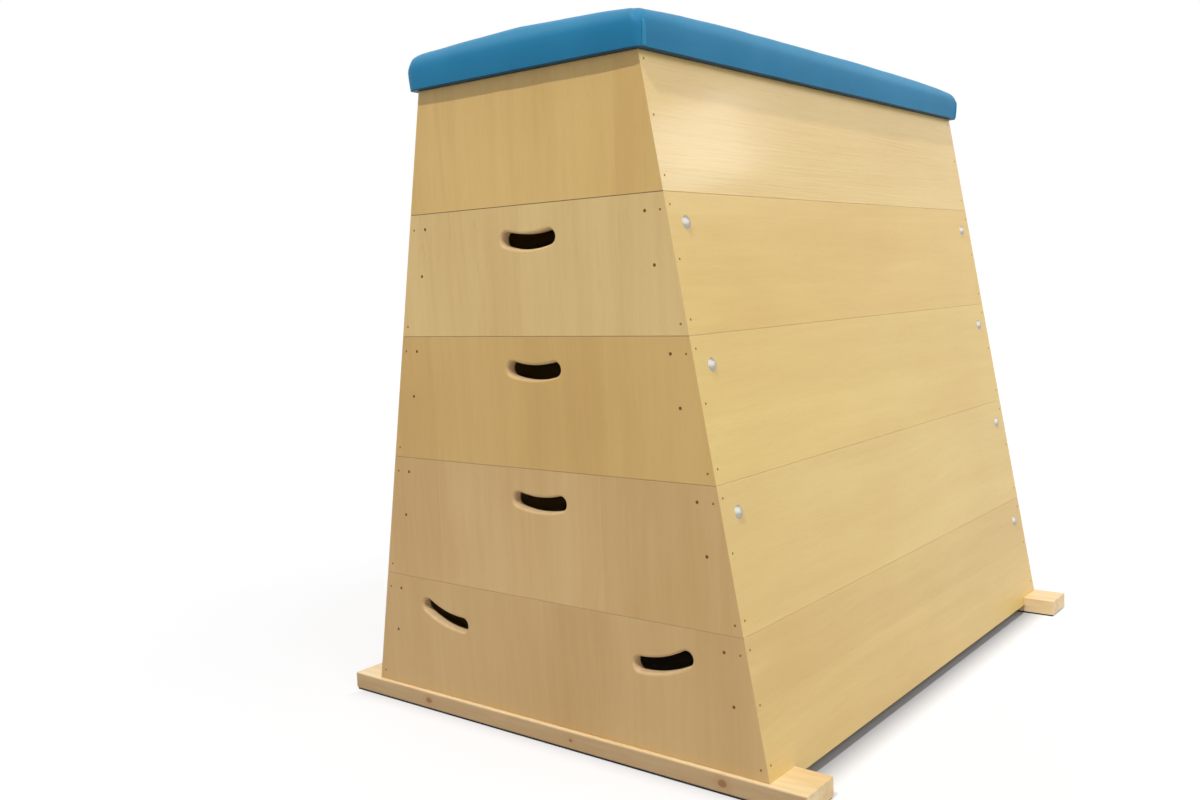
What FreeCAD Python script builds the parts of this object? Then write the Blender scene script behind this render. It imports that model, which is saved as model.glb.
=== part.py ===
import FreeCAD, Part
import math
import os

# A vaulting box for school gymnastics: five wooden sections stacked on two skids, with a padded top.
# The two ends of the stack are upright and the two long sides lean in towards the top.
# Each section lifts straight off the one below, and four corner posts inside the section below
# locate it.
#
# Millimetres. X is the width, Y the length, +Z is up. The origin is on the floor, under the
# middle of the box. A side is -1 or +1 along X, and an end is -1 or +1 along Y.

V = FreeCAD.Vector
UP = V(0, 0, 1)
SIDES = (-1, 1)
ENDS = (-1, 1)
CORNERS = [(side, end) for side in SIDES for end in ENDS]

# ---- Driving dimensions ----

LENGTH = 1012.0                     # over the two end faces, the same in every section
BASE_WIDTH = 720.0                  # over the lower edges of the bottom section's sides
SIDE_SLOPE = math.radians(10.1)     # how far the sides lean in from upright
SECTION_HEIGHTS = (191.0, 187.0, 185.0, 179.0, 176.0)   # lower edge to rim, from the bottom up
SECTION_NAMES = ["bottom_section", "second_section", "third_section", "fourth_section",
                 "top_section"]
END_NAMES = {-1: "front_panel", 1: "rear_panel"}
SIDE_NAMES = {-1: "left_panel", 1: "right_panel"}
PANEL_THICKNESS = 18.0              # plywood
EDGE_ROUND = 1.0                    # on the outer edges at each seam

# Skids, which run across under the two ends.
SKID_LENGTH = 824.0
SKID_WIDTH = 70.0
SKID_HEIGHT = 25.0
SKID_PROUD = 7.0                    # how far a skid stands out in front of the end face
SKID_ROUND = 2.0
SKID_HOUSING = 13.0                 # how far the side panels reach down past the skids' tops
RUBBER_THICKNESS = 3.0
RUBBER_INSET = 2.0                  # from the skid's edges
SKID_SCREW_X = (-300.0, -110.0, 110.0, 300.0)

# Hand holes in the end panels: slots bent like a smile.
HOLE_WIDTH = 97.0
HOLE_HEIGHT = 21.0
HOLE_BEND = 150.0                   # radius of the slot's middle line
HOLE_ROUND_OUTSIDE = 4.0
HOLE_ROUND_INSIDE = 3.0
HOLE_BELOW_RIM = 50.0
BOTTOM_HOLE_BELOW_RIM = 56.0
BOTTOM_HOLE_X = 203.0               # the bottom section has two holes in each end
BOTTOM_HOLE_TILT = math.radians(15)  # their outer ends are turned up

# Corner posts.
POST_WIDTH = 34.0                   # square to the side panel
POST_DEPTH = 40.0                   # along the box
POST_BELOW_RIM = 120.0
PEG_HEIGHT = 35.0                   # the part that stands up into the next section
PEG_CLEARANCE = 2.0                 # to the next section's panels
PEG_LEAD_IN = 7.0                   # chamfer around the peg's top

# Carriage bolts that hold the posts to the side panels.
BOLT_RADIUS = 4.0
BOLT_HOLE_RADIUS = 4.2
BOLT_LENGTH = 65.0
BOLT_HEAD_RADIUS = 9.2
BOLT_HEAD_HEIGHT = 4.2
BOLT_NECK = 8.0                     # side of the square neck
BOLT_NECK_DEPTH = 4.0
BOLT_BELOW_RIM = 38.0
BOLT_FROM_END = 39.0
UNBOLTED_CORNER = (1, -1)           # in the bottom section this post is held by its screws alone
WASHER_RADIUS = 8.0
WASHER_THICKNESS = 1.6
NUT_ACROSS_FLATS = 13.0
NUT_HEIGHT = 6.5

# Countersunk wood screws: head radius, shank radius, length.
POST_SCREW = (2.3, 1.3, 45.0)
SKID_SCREW = (4.6, 2.2, 55.0)
DECK_SCREW = (4.6, 2.2, 48.0)
POST_SCREW_BELOW_RIM = (22.0, 90.0)
POST_SCREW_FROM_EDGE = 33.0         # from the leaning edge of the end face

# Flat-headed nails along the mitred corners.
NAIL_HEAD_RADIUS = 1.7
NAIL_HEAD_THICKNESS = 1.0
NAIL_RADIUS = 0.8
NAIL_LENGTH = 28.0
NAIL_FROM_CORNER = 9.5
SIDE_NAIL_BELOW_RIM = (16.0, 84.0)  # and one more near the lower edge
TOP_SIDE_NAIL_BELOW_RIM = (11.0, 81.0)
SIDE_NAIL_ABOVE_EDGE = 20.0         # above the end panel's lower edge
END_NAIL_BELOW_RIM = 22.0
END_NAIL_ABOVE_EDGE = 15.0

# Padded top.
DECK_THICKNESS = 12.0
DECK_OVERHANG = 8.0                 # beyond the top section, all round
FOAM_THICKNESS = 43.0
COVER_THICKNESS = 1.0
COVER_TUCK = 36.0                   # width of the cover turned in under the deck board
PAD_CORNER_ROUND = 12.0
PAD_TOP_ROUND = 18.0
CORNER_BLOCK_HEIGHT = 40.0
BATTEN_SIZE = (330.0, 40.0, 20.0)
BATTEN_Y = (-170.0, 170.0)
STAPLE_CROWN = 10.0
STAPLE_WIRE = 1.0
STAPLE_LEG = 7.0
STAPLE_PITCH = 75.0
STAPLE_FROM_TUCK_EDGE = 5.0

# ---- Sizes worked out from them ----

SKID_TOP = RUBBER_THICKNESS + SKID_HEIGHT
FOOT_Z = SKID_TOP - SKID_HOUSING                        # lower edge of the side panels
SLOPE_RUN = math.tan(SIDE_SLOPE)
LEVEL_THICKNESS = PANEL_THICKNESS / math.cos(SIDE_SLOPE)  # side panel, measured level
LEVEL_POST_WIDTH = POST_WIDTH / math.cos(SIDE_SLOPE)
HALF_LENGTH = LENGTH / 2
INNER_HALF_LENGTH = HALF_LENGTH - PANEL_THICKNESS
TOP_RIM = FOOT_Z + sum(SECTION_HEIGHTS)
DECK_BOTTOM = TOP_RIM + COVER_THICKNESS


def half_width(z):
    """Half the width over the outer faces of the side panels at height z."""
    return BASE_WIDTH / 2 - SLOPE_RUN * (z - FOOT_Z)


def seams():
    """Lower edge and rim of each section, from the bottom up."""
    rims = [FOOT_Z + sum(SECTION_HEIGHTS[:number + 1]) for number in range(len(SECTION_HEIGHTS))]
    return list(zip([FOOT_Z] + rims, rims))


def polygon_face(points):
    return Part.Face(Part.makePolygon(points + points[:1]))


def group(solids):
    return Part.makeCompound(solids)


def one_solid(shape):
    """The single solid that a boolean cut leaves."""
    if len(shape.Solids) != 1:
        raise ValueError("expected one solid, found %d" % len(shape.Solids))
    return shape.Solids[0]


def set_along(shape, point, direction):
    """Stand a shape that was built along +Z at a point, along a direction."""
    shape.Placement = FreeCAD.Placement(point, FreeCAD.Rotation(UP, direction))
    return shape


def box_between(low, high):
    return Part.makeBox(high.x - low.x, high.y - low.y, high.z - low.z, low)


# ---- Panels ----

def leaning_prism(outline, z_low, z_high, side):
    """Prism on a plan outline at z_low (x taken outwards), leaning with the side panels."""
    rise = z_high - z_low
    points = [V(side * x, y, z_low) for x, y in outline]
    return polygon_face(points).extrude(V(-side * SLOPE_RUN * rise, 0, rise))


def side_blank(z_low, z_high, side):
    """A side panel with its two ends mitred, before it is worked."""
    outer = half_width(z_low)
    inner = outer - LEVEL_THICKNESS
    outline = [(outer, -HALF_LENGTH), (outer, HALF_LENGTH),
               (inner, INNER_HALF_LENGTH), (inner, -INNER_HALF_LENGTH)]
    return leaning_prism(outline, z_low, z_high, side)


def end_blank(z_low, z_high, end):
    """An end panel, which tapers upwards, mitred to fit between the side panels."""
    low, high = half_width(z_low), half_width(z_high)
    corners = [(-low, z_low), (low, z_low), (high, z_high), (-high, z_high)]
    face = polygon_face([V(x, end * HALF_LENGTH, z) for x, z in corners])
    slab = face.extrude(V(0, -end * PANEL_THICKNESS, 0))
    for side in SIDES:
        slab = slab.cut(side_blank(z_low, z_high, side))
    return one_solid(slab)


def ease_seam_edges(panel, is_outer):
    """Round the level outer edges, where this section meets its neighbours."""
    edges = [edge for edge in panel.Edges
             if edge.BoundBox.ZLength < 0.01 and is_outer(edge.BoundBox)]
    return panel.makeFillet(EDGE_ROUND, edges)


def side_panel(z_low, z_high, side):
    blank = side_blank(z_low, z_high, side)

    def runs_along_outside(bounds):
        return bounds.YLength > LENGTH - 1

    return ease_seam_edges(blank, runs_along_outside)


def end_panel(z_low, z_high, end):
    blank = end_blank(z_low, z_high, end)

    def runs_across_outside(bounds):
        return bounds.YLength < 0.01 and abs(bounds.YMax - end * HALF_LENGTH) < 0.01

    return ease_seam_edges(blank, runs_across_outside)


def hand_hole(x, z, tilt, end):
    """Cutter for one hand hole, centred on x and z: a slot along an arc, its ends turned up.
    A tilt above 0 turns the slot's +X end up."""
    half_height = HOLE_HEIGHT / 2
    spread = math.asin((HOLE_WIDTH - HOLE_HEIGHT) / 2 / HOLE_BEND)
    y = end * (HALF_LENGTH + 1)

    def tilted(across, above):
        return V(x + across * math.cos(tilt) - above * math.sin(tilt), y,
                 z + across * math.sin(tilt) + above * math.cos(tilt))

    def on_arc(radius, angle):
        return tilted(radius * math.sin(angle), HOLE_BEND - radius * math.cos(angle))

    def end_tip(angle):
        outwards = math.copysign(half_height, angle)
        return tilted(HOLE_BEND * math.sin(angle) + outwards * math.cos(angle),
                      HOLE_BEND * (1 - math.cos(angle)) + outwards * math.sin(angle))

    upper, lower = HOLE_BEND - half_height, HOLE_BEND + half_height
    arcs = [
        (on_arc(upper, -spread), on_arc(upper, 0), on_arc(upper, spread)),
        (on_arc(upper, spread), end_tip(spread), on_arc(lower, spread)),
        (on_arc(lower, spread), on_arc(lower, 0), on_arc(lower, -spread)),
        (on_arc(lower, -spread), end_tip(-spread), on_arc(upper, -spread)),
    ]
    outline = Part.Wire([Part.Arc(*points).toShape() for points in arcs])
    return Part.Face(outline).extrude(V(0, -end * (PANEL_THICKNESS + 2), 0))


def with_hand_hole(panel, x, z, tilt, end):
    """The panel with one hand hole, its rims rounded on both faces."""
    panel = one_solid(panel.cut(hand_hole(x, z, tilt, end)))
    rims = [(end * HALF_LENGTH, HOLE_ROUND_OUTSIDE), (end * INNER_HALF_LENGTH, HOLE_ROUND_INSIDE)]
    for y, radius in rims:
        rim = [edge for edge in panel.Edges
               if edge.BoundBox.YLength < 0.01
               and abs(edge.BoundBox.YMax - y) < 0.01
               and abs(edge.CenterOfMass.x - x) < HOLE_WIDTH / 2 + 1
               and abs(edge.CenterOfMass.z - z) < HOLE_WIDTH / 2]
        panel = panel.makeFillet(radius, rim)
    return panel


def hole_places(number, rim):
    """x, z and tilt of the hand holes in each end of a section."""
    if number == 0:
        return [(side * BOTTOM_HOLE_X, rim - BOTTOM_HOLE_BELOW_RIM, side * BOTTOM_HOLE_TILT)
                for side in SIDES]
    if number == len(SECTION_NAMES) - 1:
        return []
    return [(0.0, rim - HOLE_BELOW_RIM, 0.0)]


# ---- Corner posts ----

def post_outline(z, clearance):
    """Plan of a corner post at height z, with its clearance to the panels around it."""
    outer = half_width(z) - LEVEL_THICKNESS
    inner = outer - LEVEL_POST_WIDTH
    outer -= clearance
    y_outer = INNER_HALF_LENGTH - clearance
    y_inner = INNER_HALF_LENGTH - POST_DEPTH
    return [(outer, y_outer), (inner, y_outer), (inner, y_inner), (outer, y_inner)]


def leaning_post(z_low, z_high, clearance, side, end):
    outline = [(x, end * y) for x, y in post_outline(z_low, clearance)]
    return leaning_prism(outline, z_low, z_high, side)


def corner_post(rim, side, end):
    """Post below the rim, and above it a slimmer peg with a chamfered top."""
    block = leaning_post(rim - POST_BELOW_RIM, rim, 0.0, side, end)
    peg = leaning_post(rim, rim + PEG_HEIGHT, PEG_CLEARANCE, side, end)
    top_edges = [edge for edge in peg.Edges if edge.BoundBox.ZMin > rim + PEG_HEIGHT - 0.01]
    peg = peg.makeChamfer(PEG_LEAD_IN, top_edges)
    return one_solid(block.fuse(peg).removeSplitter())


def corner_block(side, end):
    """Block in a corner of the top section, under the deck board."""
    return leaning_post(TOP_RIM - CORNER_BLOCK_HEIGHT, TOP_RIM, 0.0, side, end)


# ---- Fasteners, each built along +Z with its head's outer face at the origin's height ----

def screw(head_radius, shank_radius, length):
    """Countersunk screw with its flat head at z = 0 and its point below."""
    head_depth = head_radius - shank_radius
    point_length = 3 * shank_radius
    shank_length = length - head_depth - point_length
    head = Part.makeCone(shank_radius, head_radius, head_depth, V(0, 0, -head_depth))
    shank = Part.makeCylinder(shank_radius, shank_length, V(0, 0, -head_depth - shank_length))
    point = Part.makeCone(0, shank_radius, point_length, V(0, 0, -length))
    return one_solid(head.fuse(shank).fuse(point).removeSplitter())


def nail():
    """Flat-headed nail, its head flush with the face at z = 0."""
    point_length = 3 * NAIL_RADIUS
    shank_length = NAIL_LENGTH - NAIL_HEAD_THICKNESS - point_length
    shank_low = -NAIL_HEAD_THICKNESS - shank_length
    head = Part.makeCylinder(NAIL_HEAD_RADIUS, NAIL_HEAD_THICKNESS, V(0, 0, -NAIL_HEAD_THICKNESS))
    shank = Part.makeCylinder(NAIL_RADIUS, shank_length, V(0, 0, shank_low))
    point = Part.makeCone(0, NAIL_RADIUS, point_length, V(0, 0, -NAIL_LENGTH))
    return one_solid(head.fuse(shank).fuse(point).removeSplitter())


def bolt_neck():
    return box_between(V(-BOLT_NECK / 2, -BOLT_NECK / 2, -BOLT_NECK_DEPTH),
                       V(BOLT_NECK / 2, BOLT_NECK / 2, 0))


def carriage_bolt():
    """Domed head standing on the face at z = 0, square neck and shank below."""
    dome_radius = (BOLT_HEAD_RADIUS ** 2 + BOLT_HEAD_HEIGHT ** 2) / (2 * BOLT_HEAD_HEIGHT)
    ball = Part.makeSphere(dome_radius, V(0, 0, BOLT_HEAD_HEIGHT - dome_radius))
    head = ball.common(Part.makeCylinder(BOLT_HEAD_RADIUS + 1, BOLT_HEAD_HEIGHT + 1))
    shank = Part.makeCylinder(BOLT_RADIUS, BOLT_LENGTH, V(0, 0, -BOLT_LENGTH))
    return one_solid(head.fuse(bolt_neck()).fuse(shank).removeSplitter())


def bolt_bore():
    """Cutter for the hole that the bolt's shank and square neck need in the wood."""
    bore = Part.makeCylinder(BOLT_HOLE_RADIUS, BOLT_LENGTH + 2, V(0, 0, -BOLT_LENGTH - 1))
    return one_solid(bore.fuse(bolt_neck()))


def washer():
    low = -PANEL_THICKNESS - POST_WIDTH - WASHER_THICKNESS
    disc = Part.makeCylinder(WASHER_RADIUS, WASHER_THICKNESS, V(0, 0, low))
    return disc.cut(Part.makeCylinder(BOLT_HOLE_RADIUS, WASHER_THICKNESS, V(0, 0, low)))


def hex_nut():
    low = -PANEL_THICKNESS - POST_WIDTH - WASHER_THICKNESS - NUT_HEIGHT
    corner_radius = NUT_ACROSS_FLATS / math.sqrt(3)
    corners = [V(corner_radius * math.cos(step * math.pi / 3),
                 corner_radius * math.sin(step * math.pi / 3), low) for step in range(6)]
    prism = polygon_face(corners).extrude(V(0, 0, NUT_HEIGHT))
    return prism.cut(Part.makeCylinder(BOLT_RADIUS, NUT_HEIGHT, V(0, 0, low)))


def side_outwards(side):
    """Direction square to the outer face of a side panel."""
    return V(side * math.cos(SIDE_SLOPE), 0, math.sin(SIDE_SLOPE))


def bolt_places(rim, corners):
    """Point on the side panel and outward direction of the bolt at each of these corners."""
    z = rim - BOLT_BELOW_RIM
    return [(V(side * half_width(z), end * (HALF_LENGTH - BOLT_FROM_END), z), side_outwards(side))
            for side, end in corners]


def side_nail_places(heights):
    """Nails through the side panels into the end panels."""
    return [(V(side * half_width(z), end * (HALF_LENGTH - NAIL_FROM_CORNER), z), side_outwards(side))
            for side, end in CORNERS for z in heights]


def end_face_places(heights, from_edge):
    """Places on the end faces, this far in from their leaning edges."""
    return [(V(side * (half_width(z) - from_edge), end * HALF_LENGTH, z), V(0, end, 0))
            for side, end in CORNERS for z in heights]


def set_at(make, places):
    """One separate solid at each place."""
    return [set_along(make(), point, direction) for point, direction in places]


def corner_nails(is_top, end_panel_low, rim):
    """Nails of one section; the top section is nailed through its side panels only."""
    depths = TOP_SIDE_NAIL_BELOW_RIM if is_top else SIDE_NAIL_BELOW_RIM
    heights = [rim - depth for depth in depths] + [end_panel_low + SIDE_NAIL_ABOVE_EDGE]
    places = side_nail_places(heights)
    if not is_top:
        heights = [rim - END_NAIL_BELOW_RIM, end_panel_low + END_NAIL_ABOVE_EDGE]
        places += end_face_places(heights, NAIL_FROM_CORNER)
    return set_at(nail, places)


# ---- Skids ----

def skid(end):
    """Flat rail across under one end, its corners and long edges eased."""
    outer = HALF_LENGTH + SKID_PROUD
    middle = end * (outer - SKID_WIDTH / 2)
    rail = box_between(V(-SKID_LENGTH / 2, middle - SKID_WIDTH / 2, RUBBER_THICKNESS),
                       V(SKID_LENGTH / 2, middle + SKID_WIDTH / 2, SKID_TOP))
    outer_edges = [edge for edge in rail.Edges
                   if abs(edge.BoundBox.YMin - end * outer) < 0.01
                   and abs(edge.BoundBox.YMax - end * outer) < 0.01]
    upright_inner = [edge for edge in rail.Edges
                     if edge.BoundBox.ZLength > 1 and abs(edge.CenterOfMass.y) < HALF_LENGTH - 1]
    return rail.makeFillet(SKID_ROUND, outer_edges + upright_inner)


def skid_rubber(end):
    """Grip strip under a skid."""
    middle = end * (HALF_LENGTH + SKID_PROUD - SKID_WIDTH / 2)
    half_long = SKID_LENGTH / 2 - RUBBER_INSET
    half_wide = SKID_WIDTH / 2 - RUBBER_INSET
    return box_between(V(-half_long, middle - half_wide, 0),
                       V(half_long, middle + half_wide, RUBBER_THICKNESS))


def skid_screws():
    """Screws up through the skids into the end panels' lower edges."""
    middle = HALF_LENGTH - PANEL_THICKNESS / 2
    places = [(V(x, end * middle, RUBBER_THICKNESS), -UP) for end in ENDS for x in SKID_SCREW_X]
    return set_at(lambda: screw(*SKID_SCREW), places)


def housing(end):
    """Cutter for the notches that let the side panels down over a skid."""
    inner = HALF_LENGTH + SKID_PROUD - SKID_WIDTH
    nearer, further = sorted((end * inner, end * (HALF_LENGTH + 1)))
    return box_between(V(-BASE_WIDTH, nearer, 0), V(BASE_WIDTH, further, SKID_TOP))


# ---- Padded top ----

def pad_block(grow, z_low, z_high):
    """Block with the deck board's plan, its upright corners and top edges rounded."""
    half_x = half_width(TOP_RIM) + DECK_OVERHANG + grow
    half_y = HALF_LENGTH + DECK_OVERHANG + grow
    block = box_between(V(-half_x, -half_y, z_low), V(half_x, half_y, z_high))
    uprights = [edge for edge in block.Edges if edge.BoundBox.ZLength > 1]
    block = block.makeFillet(PAD_CORNER_ROUND + grow, uprights)
    top_edges = [edge for edge in block.Edges if edge.BoundBox.ZMin > z_high - 0.01]
    return block.makeFillet(PAD_TOP_ROUND + grow, top_edges)


def pad_inside():
    """Space inside the cover, which the deck board and the foam fill."""
    return pad_block(0.0, DECK_BOTTOM, DECK_BOTTOM + DECK_THICKNESS + FOAM_THICKNESS)


def slab_between(z_low, z_high, half_x, half_y):
    return box_between(V(-half_x, -half_y, z_low), V(half_x, half_y, z_high))


def deck_board():
    return pad_inside().common(
        slab_between(DECK_BOTTOM, DECK_BOTTOM + DECK_THICKNESS, BASE_WIDTH, LENGTH))


def pad_foam():
    return pad_inside().cut(slab_between(0, DECK_BOTTOM + DECK_THICKNESS, BASE_WIDTH, LENGTH))


def tuck_edge():
    """Half sizes of the window that the turned-in cover leaves under the deck board."""
    return (half_width(TOP_RIM) + DECK_OVERHANG - COVER_TUCK,
            HALF_LENGTH + DECK_OVERHANG - COVER_TUCK)


def pad_cover():
    """Vinyl skin over the foam and the deck board, turned in under the board."""
    skin_top = DECK_BOTTOM + DECK_THICKNESS + FOAM_THICKNESS + COVER_THICKNESS
    skin = pad_block(COVER_THICKNESS, TOP_RIM, skin_top).cut(pad_inside())
    return skin.cut(slab_between(TOP_RIM - 1, DECK_BOTTOM, *tuck_edge()))


def staple(along_x):
    """Wire staple, its crown under the cover and its legs up in the deck board."""
    length, width = (STAPLE_CROWN, STAPLE_WIRE) if along_x else (STAPLE_WIRE, STAPLE_CROWN)
    crown = box_between(V(-length / 2, -width / 2, -STAPLE_WIRE), V(length / 2, width / 2, 0))
    legs = box_between(V(-length / 2, -width / 2, 0), V(length / 2, width / 2, STAPLE_LEG))
    gap_x = STAPLE_CROWN / 2 - STAPLE_WIRE if along_x else STAPLE_WIRE
    gap_y = STAPLE_WIRE if along_x else STAPLE_CROWN / 2 - STAPLE_WIRE
    between = box_between(V(-gap_x, -gap_y, 0), V(gap_x, gap_y, STAPLE_LEG))
    return one_solid(crown.fuse(legs.cut(between)).removeSplitter())


def evenly_spaced(half_span, pitch):
    """Places about pitch apart, symmetrical about zero, within half_span."""
    count = int(2 * half_span / pitch)
    return [(index - (count - 1) / 2) * pitch for index in range(count)]


def cover_staples():
    """Staples round the turned-in edge of the cover, clear of the corner blocks."""
    window_x, window_y = tuck_edge()
    row_x = window_x + STAPLE_FROM_TUCK_EDGE
    row_y = window_y + STAPLE_FROM_TUCK_EDGE
    reach_x = window_x - POST_WIDTH
    reach_y = window_y - POST_DEPTH
    staples = []
    for sign in SIDES:
        for x in evenly_spaced(reach_x, STAPLE_PITCH):
            staples.append(staple(True).translated(V(x, sign * row_y, TOP_RIM)))
        for y in evenly_spaced(reach_y, STAPLE_PITCH):
            staples.append(staple(False).translated(V(sign * row_x, y, TOP_RIM)))
    return staples


def deck_battens():
    """Stiffeners across under the deck board, between the turned-in edges of the cover."""
    length, width, height = BATTEN_SIZE
    return [box_between(V(-length / 2, y - width / 2, DECK_BOTTOM - height),
                        V(length / 2, y + width / 2, DECK_BOTTOM)) for y in BATTEN_Y]


def deck_screws():
    """Screws up through the corner blocks into the deck board."""
    head_z = TOP_RIM - CORNER_BLOCK_HEIGHT
    x = half_width(TOP_RIM - CORNER_BLOCK_HEIGHT / 2) - LEVEL_THICKNESS - LEVEL_POST_WIDTH / 2
    y = INNER_HALF_LENGTH - POST_DEPTH / 2
    places = [(V(side * x, end * y, head_z), -UP) for side, end in CORNERS]
    return set_at(lambda: screw(*DECK_SCREW), places)


# ---- Assembly ----

def section(number, z_low, rim):
    """Every node of one wooden section, as name: shape."""
    name = SECTION_NAMES[number]
    is_bottom = number == 0
    is_top = number == len(SECTION_NAMES) - 1
    end_panel_low = SKID_TOP if is_bottom else z_low
    nails = corner_nails(is_top, end_panel_low, rim)
    nodes = {name + "_corner_nails": group(nails)}
    cutters = list(nails)
    if is_top:
        screws = deck_screws()
        blocks = [corner_block(side, end).cut(group(screws)) for side, end in CORNERS]
        nodes[name + "_corner_blocks"] = group(blocks)
        nodes["deck_screws"] = group(screws)
    else:
        bolted = [corner for corner in CORNERS if not (is_bottom and corner == UNBOLTED_CORNER)]
        places = bolt_places(rim, bolted)
        screw_heights = [rim - depth for depth in POST_SCREW_BELOW_RIM]
        screw_places = end_face_places(screw_heights, POST_SCREW_FROM_EDGE)
        screws = set_at(lambda: screw(*POST_SCREW), screw_places)
        cutters += screws + set_at(bolt_bore, places)
        posts = [one_solid(corner_post(rim, side, end).cut(group(cutters)))
                 for side, end in CORNERS]
        nodes[name + "_corner_posts"] = group(posts)
        nodes[name + "_post_screws"] = group(screws)
        nodes[name + "_post_bolts"] = group(set_at(carriage_bolt, places))
        nodes[name + "_post_washers"] = group(set_at(washer, places))
        nodes[name + "_post_nuts"] = group(set_at(hex_nut, places))
    if is_bottom:
        cutters += skid_screws() + [housing(end) for end in ENDS]
    for side in SIDES:
        panel = side_panel(z_low, rim, side)
        nodes[name + "_" + SIDE_NAMES[side]] = one_solid(panel.cut(group(cutters)))
    for end in ENDS:
        panel = end_panel(end_panel_low, rim, end)
        panel = one_solid(panel.cut(group(cutters)))
        for x, z, tilt in hole_places(number, rim):
            panel = with_hand_hole(panel, x, z, tilt, end)
        nodes[name + "_" + END_NAMES[end]] = panel
    return nodes


def skid_nodes():
    screws = group(skid_screws())
    return {
        "front_skid": one_solid(skid(-1).cut(screws)),
        "rear_skid": one_solid(skid(1).cut(screws)),
        "front_skid_rubber": skid_rubber(-1),
        "rear_skid_rubber": skid_rubber(1),
        "skid_screws": screws,
    }


def padded_top_nodes():
    staples = group(cover_staples())
    return {
        "deck_board": one_solid(deck_board().cut(staples).cut(group(deck_screws()))),
        "deck_battens": group(deck_battens()),
        "pad_foam": one_solid(pad_foam()),
        "pad_cover": one_solid(pad_cover().cut(staples)),
        "cover_staples": staples,
    }


def build():
    nodes = skid_nodes()
    for number, (z_low, rim) in enumerate(seams()):
        nodes.update(section(number, z_low, rim))
    nodes.update(padded_top_nodes())
    return nodes


def export(nodes):
    os.makedirs("parts", exist_ok=True)
    for name, shape in nodes.items():
        if not shape.isValid():
            raise ValueError(name + " is not a valid solid")
        shape.exportStep("parts/" + name + ".step")


export(build())
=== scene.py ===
import math

import bmesh
import bpy
import numpy as np
from mathutils import Matrix, Vector

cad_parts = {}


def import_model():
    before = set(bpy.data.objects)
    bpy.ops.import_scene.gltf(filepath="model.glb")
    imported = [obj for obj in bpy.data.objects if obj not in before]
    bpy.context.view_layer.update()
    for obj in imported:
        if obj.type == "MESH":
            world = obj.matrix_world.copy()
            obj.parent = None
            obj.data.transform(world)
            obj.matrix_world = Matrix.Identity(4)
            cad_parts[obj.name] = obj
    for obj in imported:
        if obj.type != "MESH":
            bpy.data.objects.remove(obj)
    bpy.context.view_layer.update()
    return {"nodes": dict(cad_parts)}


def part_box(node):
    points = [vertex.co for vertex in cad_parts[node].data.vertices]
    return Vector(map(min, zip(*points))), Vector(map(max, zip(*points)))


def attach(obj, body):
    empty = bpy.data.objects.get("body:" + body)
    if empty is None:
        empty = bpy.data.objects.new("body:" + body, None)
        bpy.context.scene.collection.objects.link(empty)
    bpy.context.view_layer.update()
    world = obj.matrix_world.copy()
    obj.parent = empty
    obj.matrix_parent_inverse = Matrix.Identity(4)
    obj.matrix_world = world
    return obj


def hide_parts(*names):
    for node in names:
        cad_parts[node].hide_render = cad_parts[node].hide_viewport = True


# A wooden vaulting box of five stacked sections on two skids, with a blue vinyl pad on top.
# The wood, the fasteners and the skids are the frame's own nodes with finishes made here.
# The pad is upholstered here: a foam-filled vinyl cover, its folded corners and its turned-in hem.
# Metres, +Z up. X is the width and Y the length.

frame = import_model()
NODES = frame["nodes"]

SECTIONS = ("bottom_section", "second_section", "third_section", "fourth_section", "top_section")
SIDES = (-1, 1)
ENDS = (-1, 1)
MM = 0.001

# ---- Places read from the frame ----

COVER_LOW, COVER_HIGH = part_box("pad_cover")
DECK_LOW, DECK_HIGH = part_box("deck_board")
SKID_LOW, SKID_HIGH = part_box("front_skid")
FOOT_LOW, FOOT_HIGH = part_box("bottom_section_right_panel")
TOP_SIDE_LOW, TOP_SIDE_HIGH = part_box("top_section_right_panel")
BODY_HALF_LENGTH = FOOT_HIGH.y
PANEL_THICKNESS = BODY_HALF_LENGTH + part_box("second_section_front_panel")[1].y
SIDE_SLOPE = math.atan((FOOT_HIGH.x - TOP_SIDE_HIGH.x) / (TOP_SIDE_LOW.z - FOOT_LOW.z))


# ---- Finishes: how a material is written ----

def colour(code):
    """Linear colour with alpha from the six digits of a screen colour."""
    shares = [int(code[place:place + 2], 16) / 255 for place in (0, 2, 4)]
    linear = [share / 12.92 if share <= 0.04045 else ((share + 0.055) / 1.055) ** 2.4
              for share in shares]
    return (*linear, 1.0)


class Signal:
    """A shader socket to write sums with: each operator adds its Math node."""

    def __init__(self, nodes, socket):
        self.nodes = nodes
        self.socket = socket

    def __add__(self, other):
        return self.nodes.maths("ADD", self, other)

    def __sub__(self, other):
        return self.nodes.maths("SUBTRACT", self, other)

    def __rsub__(self, other):
        return self.nodes.maths("SUBTRACT", other, self)

    def __mul__(self, other):
        return self.nodes.maths("MULTIPLY", self, other)

    def __truediv__(self, other):
        return self.nodes.maths("DIVIDE", self, other)

    __radd__ = __add__
    __rmul__ = __mul__


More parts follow.
